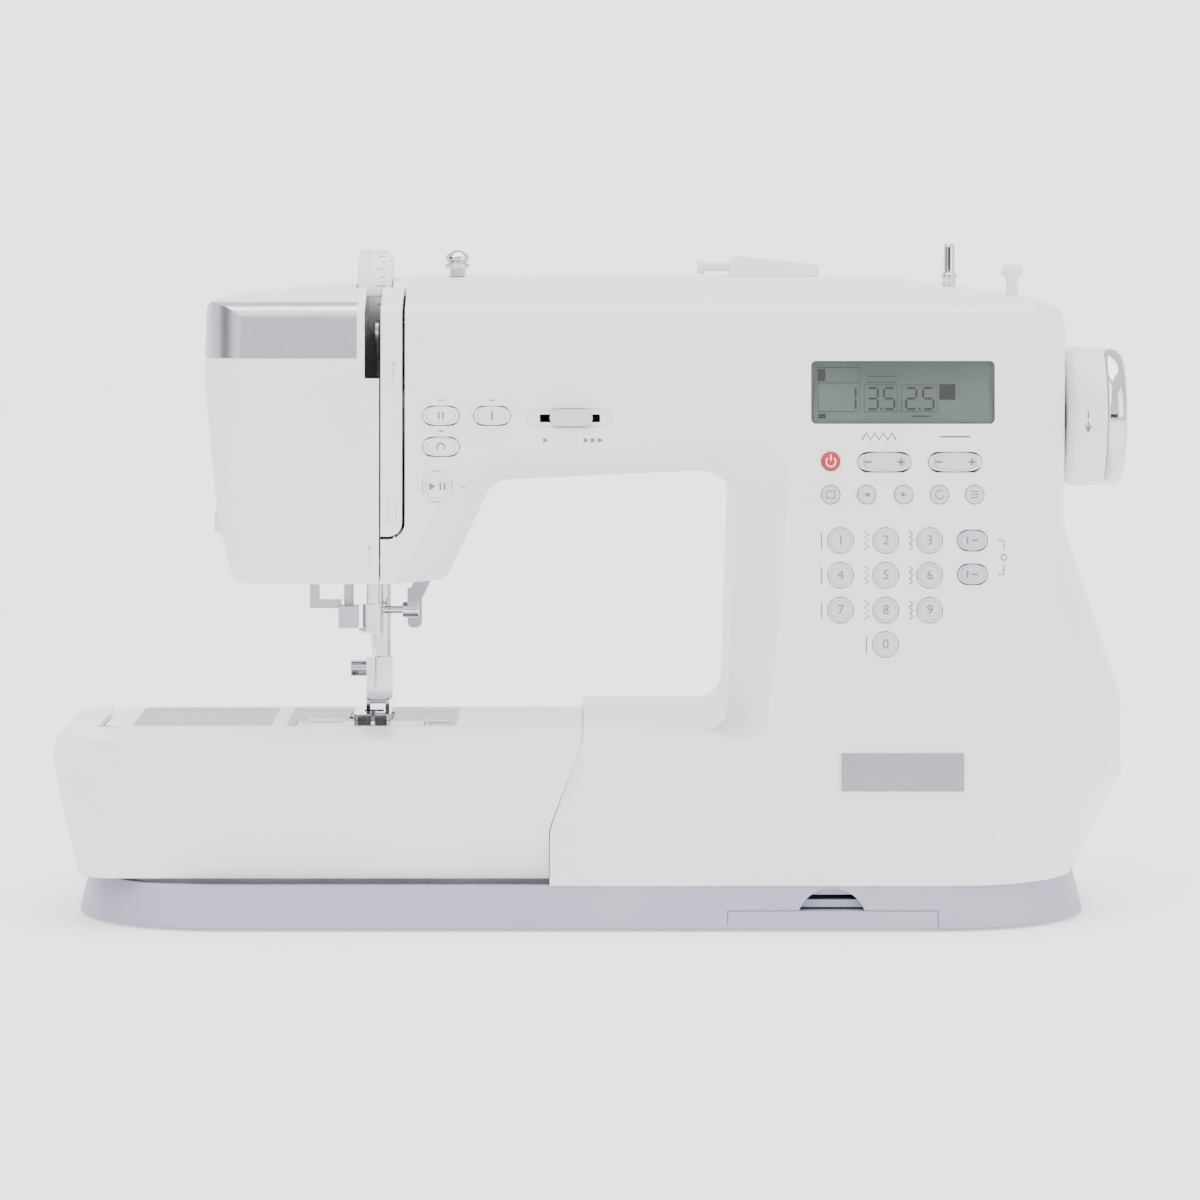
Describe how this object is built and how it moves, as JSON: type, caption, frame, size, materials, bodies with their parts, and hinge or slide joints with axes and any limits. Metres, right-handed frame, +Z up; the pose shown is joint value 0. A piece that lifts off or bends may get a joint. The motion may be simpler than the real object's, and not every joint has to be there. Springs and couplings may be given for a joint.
{
  "type": "sewing machine",
  "caption": "Computerised free-arm sewing machine with a keypad column, display, stitch head, removable extension table and pull-out chart drawer.",
  "frame": {"origin": "on the table, under the middle of the overall box", "axes": "+X towards the handwheel, +Y to the back, +Z up"},
  "size_m": [0.4367, 0.1824, 0.272],
  "materials": {
    "white_shell": "fine satin",
    "grey_base": "satin",
    "silver_trim": "silver paint",
    "steel": "brushed",
    "chrome": "polished",
    "casting": "as cast",
    "bronze": "sintered",
    "rubber": "moulded",
    "key_plastic": "satin",
    "red_key": "satin",
    "lens": "clear",
    "dark_plastic": "moulded",
    "board": "laminate",
    "lcd": "display"
  },
  "bodies": {
    "machine": {"base_tray": "grey_base", "rubber_feet": "rubber", "front_cover": "white_shell", "rear_cover": "white_shell", "face_cover": "white_shell", "face_band": "silver_trim", "thread_panel": "white_shell", "free_arm_cover": "white_shell", "frame_casting": "casting", "shaft_bushes": "bronze", "free_arm_plate": "silver_trim", "needle_plate": "steel", "bobbin_case": "dark_plastic", "display_window": "lens", "display_module": "lcd", "badge_plate": "silver_trim", "control_board": "board", "motor": "steel", "power_inlet": "dark_plastic", "tension_discs": "steel", "pretension_guide": "chrome", "winder_stopper": "white_shell", "thread_cutter": "white_shell", "sewing_lamp": "lens", "drive_belts": "rubber", "spool_housing": "white_shell"},
    "wheel_train": {"handwheel": "white_shell", "handwheel_ring": "chrome", "upper_shaft": "steel"},
    "lower_train": {"lower_shaft": "steel"},
    "hook": {"rotary_hook": "steel"},
    "bobbin_body": {"bobbin": "lens"},
    "motor_rotor": {"motor_pulley": "steel"},
    "needle_group": {"needle_bar": "steel", "needle_clamp": "chrome", "needle": "steel"},
    "link": {"drive_link": "steel"},
    "take_up": {"take_up_lever": "steel"},
    "presser": {"presser_bar": "steel", "presser_foot": "chrome"},
    "lifter": {"foot_lifter": "grey_base"},
    "threader": {"needle_threader": "key_plastic"},
    "table": {"extension_table": "white_shell"},
    "drawer": {"chart_drawer": "grey_base"},
    "slide_plate": {"bobbin_cover": "lens"},
    "feed_rocker": {"feed_bar": "steel"},
    "feed": {"feed_dogs": "steel"},
    "dial": {"tension_dial": "white_shell"},
    "winder": {"winder_spindle": "dark_plastic"},
    "spool": {"spool_pin": "white_shell"},
    "slider": {"speed_slider": "key_plastic"},
    "start_stop_button_body": {"start_stop_button": "key_plastic"},
    "reverse_button_body": {"reverse_button": "key_plastic"},
    "needle_button_body": {"needle_button": "key_plastic"},
    "tie_off_button_body": {"tie_off_button": "key_plastic"},
    "power_key_body": {"power_key": "red_key"},
    "function_keys_body": {"function_keys": "key_plastic"},
    "number_keys_body": {"number_keys": "key_plastic"},
    "width_key_body": {"width_key": "key_plastic"},
    "length_key_body": {"length_key": "key_plastic"}
  },
  "joints": [
    {"name": "handwheel_spin", "type": "hinge", "parent": "machine", "child": "wheel_train", "pos_m": [0.18, 0, 0.2005], "axis": [1, 0, 0], "continuous": true},
    {"name": "lower_shaft_spin", "type": "hinge", "parent": "machine", "child": "lower_train", "pos_m": [0, 0.0043, 0.046], "axis": [1, 0, 0], "continuous": true},
    {"name": "hook_spin", "type": "hinge", "parent": "machine", "child": "hook", "pos_m": [-0.105, -0.014, 0.05], "axis": [0, 0, 1], "continuous": true},
    {"name": "motor_spin", "type": "hinge", "parent": "machine", "child": "motor_rotor", "pos_m": [0.15, 0.05, 0.066], "axis": [1, 0, 0], "continuous": true},
    {"name": "bobbin_spin", "type": "hinge", "parent": "machine", "child": "bobbin_body", "pos_m": [-0.105, -0.014, 0.066], "axis": [0, 0, 1], "continuous": true},
    {"name": "needle_bar_slide", "type": "slide", "parent": "machine", "child": "needle_group", "axis": [0, 0, 1], "range_m": [-0.03, 0]},
    {"name": "drive_link_swing", "type": "hinge", "parent": "needle_group", "child": "link", "pos_m": [-0.0807, 0, 0.1805], "axis": [1, 0, 0], "range_deg": [-20, 20]},
    {"name": "take_up_swing", "type": "hinge", "parent": "machine", "child": "take_up", "pos_m": [-0.0863, 0.01, 0.232], "axis": [1, 0, 0], "range_deg": [0, 25]},
    {"name": "presser_lift", "type": "slide", "parent": "machine", "child": "presser", "axis": [0, 0, 1], "range_m": [0, 0.006]},
    {"name": "lifter_turn", "type": "hinge", "parent": "machine", "child": "lifter", "pos_m": [-0.066, 0.026, 0.143], "axis": [0, 1, 0], "range_deg": [-60, 0]},
    {"name": "threader_slide", "type": "slide", "parent": "machine", "child": "threader", "axis": [0, 0, 1], "range_m": [-0.022, 0], "stiffness_N_per_m": 40, "springref_m": 0.01},
    {"name": "table_slide", "type": "slide", "parent": "machine", "child": "table", "axis": [-1, 0, 0], "range_m": [0, 0.215]},
    {"name": "drawer_slide", "type": "slide", "parent": "machine", "child": "drawer", "axis": [0, -1, 0], "range_m": [0, 0.09]},
    {"name": "bobbin_cover_lift", "type": "slide", "parent": "machine", "child": "slide_plate", "axis": [0, 0, 1], "range_m": [0, 0.02]},
    {"name": "feed_advance", "type": "slide", "parent": "machine", "child": "feed_rocker", "axis": [0, 1, 0], "range_m": [-0.0018, 0.0018]},
    {"name": "feed_drop", "type": "slide", "parent": "feed_rocker", "child": "feed", "axis": [0, 0, 1], "range_m": [-0.0018, 0]},
    {"name": "tension_dial_turn", "type": "hinge", "parent": "machine", "child": "dial", "pos_m": [-0.088, -0.02, 0.2515], "axis": [1, 0, 0], "range_deg": [-140, 140]},
    {"name": "winder_spin", "type": "hinge", "parent": "machine", "child": "winder", "pos_m": [0.1452, -0.018, 0.24], "axis": [0, 0, 1], "continuous": true},
    {"name": "spool_pin_slide", "type": "slide", "parent": "machine", "child": "spool", "axis": [-1, 0, 0], "range_m": [0, 0.028]},
    {"name": "speed_slide", "type": "slide", "parent": "machine", "child": "slider", "axis": [1, 0, 0], "range_m": [-0.009, 0.007]},
    {"name": "start_stop_button_press", "type": "slide", "parent": "machine", "child": "start_stop_button_body", "axis": [0, 0.9943, -0.1064], "range_m": [0, 0.0008], "stiffness_N_per_m": 400, "springref_m": -0.001},
    {"name": "reverse_button_press", "type": "slide", "parent": "machine", "child": "reverse_button_body", "axis": [0, 0.9943, -0.1064], "range_m": [0, 0.0008], "stiffness_N_per_m": 400, "springref_m": -0.001},
    {"name": "needle_button_press", "type": "slide", "parent": "machine", "child": "needle_button_body", "axis": [0, 0.9943, -0.1064], "range_m": [0, 0.0008], "stiffness_N_per_m": 400, "springref_m": -0.001},
    {"name": "tie_off_button_press", "type": "slide", "parent": "machine", "child": "tie_off_button_body", "axis": [0, 0.9943, -0.1064], "range_m": [0, 0.0008], "stiffness_N_per_m": 400, "springref_m": -0.001},
    {"name": "power_key_press", "type": "slide", "parent": "machine", "child": "power_key_body", "axis": [0, 0.9943, -0.1064], "range_m": [0, 0.0008], "stiffness_N_per_m": 400, "springref_m": -0.001},
    {"name": "function_keys_press", "type": "slide", "parent": "machine", "child": "function_keys_body", "axis": [0, 0.9943, -0.1064], "range_m": [0, 0.0008], "stiffness_N_per_m": 400, "springref_m": -0.001},
    {"name": "number_keys_press", "type": "slide", "parent": "machine", "child": "number_keys_body", "axis": [0, 0.9943, -0.1064], "range_m": [0, 0.0008], "stiffness_N_per_m": 400, "springref_m": -0.001},
    {"name": "width_key_rock", "type": "hinge", "parent": "machine", "child": "width_key_body", "pos_m": [0.1164, -0.06753, 0.1859], "axis": [0, 0.1064, 0.9943], "range_deg": [-2.5, 2.5], "stiffness_Nm_per_rad": 0.05},
    {"name": "length_key_rock", "type": "hinge", "parent": "machine", "child": "length_key_body", "pos_m": [0.1446, -0.06753, 0.1859], "axis": [0, 0.1064, 0.9943], "range_deg": [-2.5, 2.5], "stiffness_Nm_per_rad": 0.05}
  ],
  "couplings": [
    {"joint": "lower_shaft_spin", "follows": "handwheel_spin", "ratio": 1},
    {"joint": "hook_spin", "follows": "handwheel_spin", "ratio": 2},
    {"joint": "motor_spin", "follows": "handwheel_spin", "ratio": 3},
    {"joint": "take_up_swing", "follows": "needle_bar_slide", "rad_per_m": -14.5},
    {"joint": "lifter_turn", "follows": "presser_lift", "rad_per_m": -174}
  ]
}
